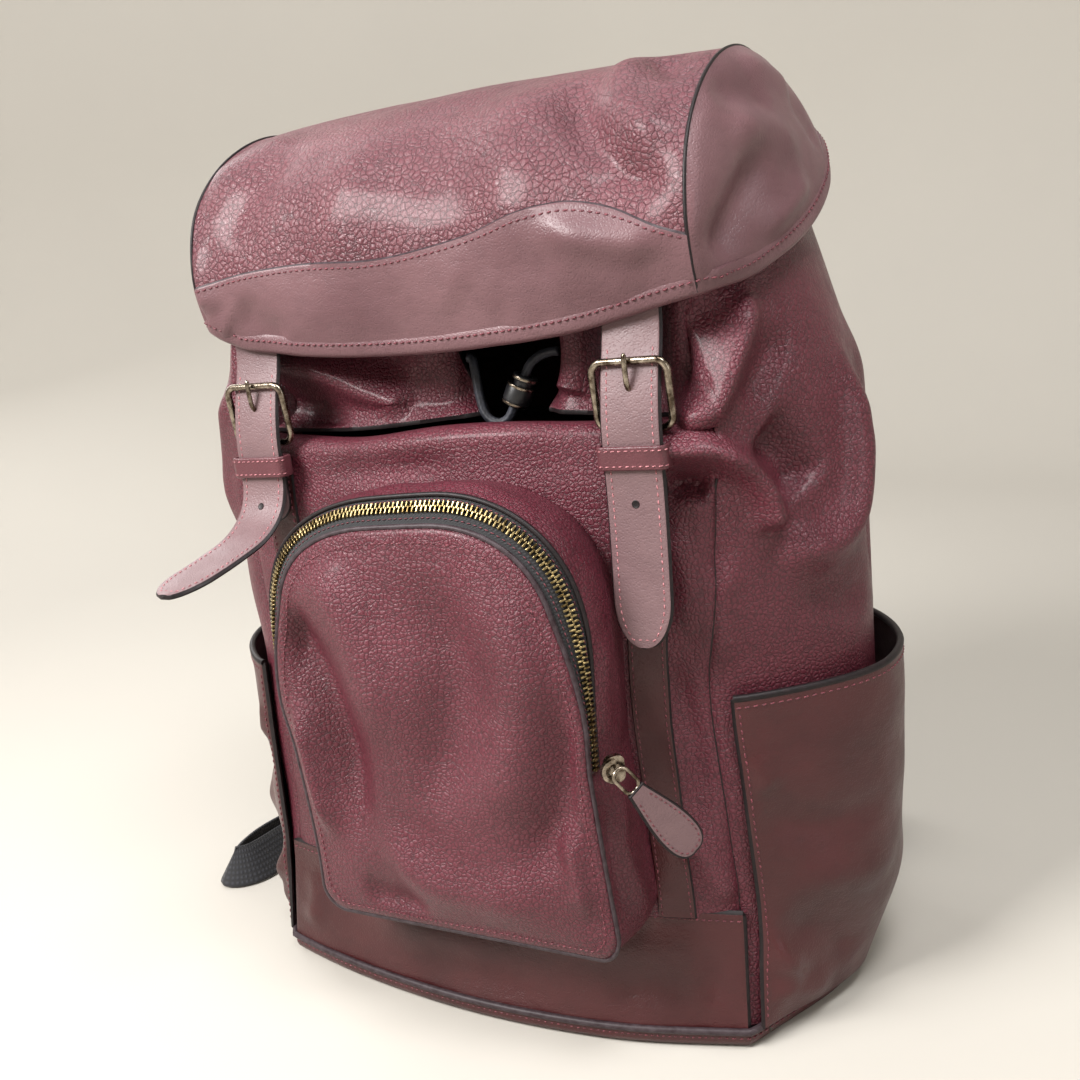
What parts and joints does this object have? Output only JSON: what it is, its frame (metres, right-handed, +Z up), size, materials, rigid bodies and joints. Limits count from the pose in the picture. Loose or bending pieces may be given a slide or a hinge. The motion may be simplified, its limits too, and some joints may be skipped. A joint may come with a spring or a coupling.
{
  "type": "backpack",
  "caption": "Flap-top leather backpack with buckled closure straps, a front zip pocket, side pockets, a drawstring mouth, a top handle and padded shoulder straps.",
  "frame": {"origin": "middle of the flat underside, on the surface the bag stands on", "axes": "+Z up, -Y the front with the flap and zip pocket, +X the bag's right seen from the front"},
  "size_m": [0.4219, 0.3064, 0.439],
  "materials": {
    "pebbled_leather": "pebbled oxblood leather, satin",
    "smooth_leather": "smooth mauve-burgundy leather",
    "brown_leather": "smooth brown-burgundy leather",
    "strap_leather": "smooth greyish mauve leather with dusty rose stitching",
    "padded_leather": "padded pebbled leather over foam",
    "lining_fabric": "black woven lining",
    "zip_tape_fabric": "black woven zip tape",
    "webbing": "charcoal woven webbing",
    "stiff_board": "stiff board",
    "antique_nickel": "antique nickel",
    "antique_brass": "antique brass",
    "black_plastic": "black metal-rimmed plastic",
    "drawcord": "black braided cord"
  },
  "bodies": {
    "bag": {"front_panel": "pebbled_leather", "base_band_front": "brown_leather", "back_panel": "brown_leather", "side_panel_left": "pebbled_leather", "side_panel_right": "pebbled_leather", "base_panel": "brown_leather", "base_board": "stiff_board", "base_piping": "brown_leather", "side_pocket_left": "brown_leather", "side_pocket_right": "brown_leather", "strap_band_left": "brown_leather", "strap_band_right": "brown_leather", "back_pad": "padded_leather", "back_yoke": "brown_leather", "lining": "lining_fabric", "laptop_sleeve": "lining_fabric", "slip_pocket": "lining_fabric", "zip_pocket_gusset": "pebbled_leather", "zip_pocket_face": "pebbled_leather", "zip_tape": "zip_tape_fabric", "zip_teeth": "antique_brass", "mouth_casing_left": "pebbled_leather", "mouth_casing_right": "pebbled_leather", "drawstring": "drawcord", "cord_lock_body": "black_plastic", "cord_lock_spring": "antique_nickel", "snap_socket_left": "antique_nickel", "snap_socket_right": "antique_nickel", "webbing_anchor_left": "brown_leather", "webbing_anchor_right": "brown_leather", "ground_webbing_left": "webbing", "ground_webbing_right": "webbing"},
    "zip_slider": {"zip_slider": "antique_nickel"},
    "zip_pull": {"pull_link": "antique_nickel", "pull_tab": "strap_leather"},
    "cord_lock_button": {"cord_lock_button": "black_plastic"},
    "flap": {"flap_top": "pebbled_leather", "flap_front_band": "smooth_leather", "flap_hood_left": "smooth_leather", "flap_hood_right": "smooth_leather", "flap_lining": "lining_fabric"},
    "handle": {"handle": "brown_leather"},
    "closure_left": {"closure_strap_left": "strap_leather", "buckle_frame_left": "antique_nickel", "strap_keeper_left": "strap_leather", "closure_tab_left": "strap_leather", "snap_cap_left": "antique_nickel"},
    "prong_left": {"buckle_prong_left": "antique_nickel"},
    "strap_left": {"shoulder_pad_left": "padded_leather", "ladder_lock_left": "antique_nickel", "strap_webbing_left": "webbing"},
    "closure_right": {"closure_strap_right": "strap_leather", "buckle_frame_right": "antique_nickel", "strap_keeper_right": "strap_leather", "closure_tab_right": "strap_leather", "snap_cap_right": "antique_nickel"},
    "prong_right": {"buckle_prong_right": "antique_nickel"},
    "strap_right": {"shoulder_pad_right": "padded_leather", "ladder_lock_right": "antique_nickel", "strap_webbing_right": "webbing"}
  },
  "joints": [
    {"name": "flap_hinge", "type": "hinge", "parent": "bag", "child": "flap", "pos_m": [0, 0.062, 0.402], "axis": [-1, 0, 0], "range_deg": [0, 95]},
    {"name": "zip_slide", "type": "slide", "parent": "bag", "child": "zip_slider", "axis": [0, 0, 1], "range_m": [0, 0.04]},
    {"name": "zip_pull_swing", "type": "hinge", "parent": "zip_slider", "child": "zip_pull", "pos_m": [0.09236, -0.12848, 0.1546], "axis": [-0.6816, -0.7317, 0], "range_deg": [0, 100]},
    {"name": "cord_lock_press", "type": "slide", "parent": "bag", "child": "cord_lock_button", "axis": [-0.434, -0.1017, -0.8951], "range_m": [0, 0.0022], "stiffness_N_per_m": 300, "deforming": ["cord_lock_spring"]},
    {"name": "handle_swing", "type": "hinge", "parent": "bag", "child": "handle", "pos_m": [0, 0.0715, 0.386], "axis": [1, 0, 0], "range_deg": [0, 120]},
    {"name": "closure_left_lift", "type": "hinge", "parent": "flap", "child": "closure_left", "pos_m": [-0.0975, -0.0807, 0.3305], "axis": [-1, 0, 0], "range_deg": [0, 60]},
    {"name": "prong_left_tilt", "type": "hinge", "parent": "closure_left", "child": "prong_left", "pos_m": [-0.0975, -0.0862, 0.288], "axis": [1, 0, 0], "range_deg": [0, 5]},
    {"name": "strap_left_swing", "type": "hinge", "parent": "bag", "child": "strap_left", "pos_m": [-0.073, 0.075, 0.374], "axis": [1, 0, 0], "range_deg": [0, 25]},
    {"name": "closure_right_lift", "type": "hinge", "parent": "flap", "child": "closure_right", "pos_m": [0.0975, -0.0807, 0.3305], "axis": [-1, 0, 0], "range_deg": [0, 60]},
    {"name": "prong_right_tilt", "type": "hinge", "parent": "closure_right", "child": "prong_right", "pos_m": [0.0975, -0.0862, 0.288], "axis": [1, 0, 0], "range_deg": [0, 5]},
    {"name": "strap_right_swing", "type": "hinge", "parent": "bag", "child": "strap_right", "pos_m": [0.073, 0.075, 0.374], "axis": [1, 0, 0], "range_deg": [0, 25]}
  ]
}
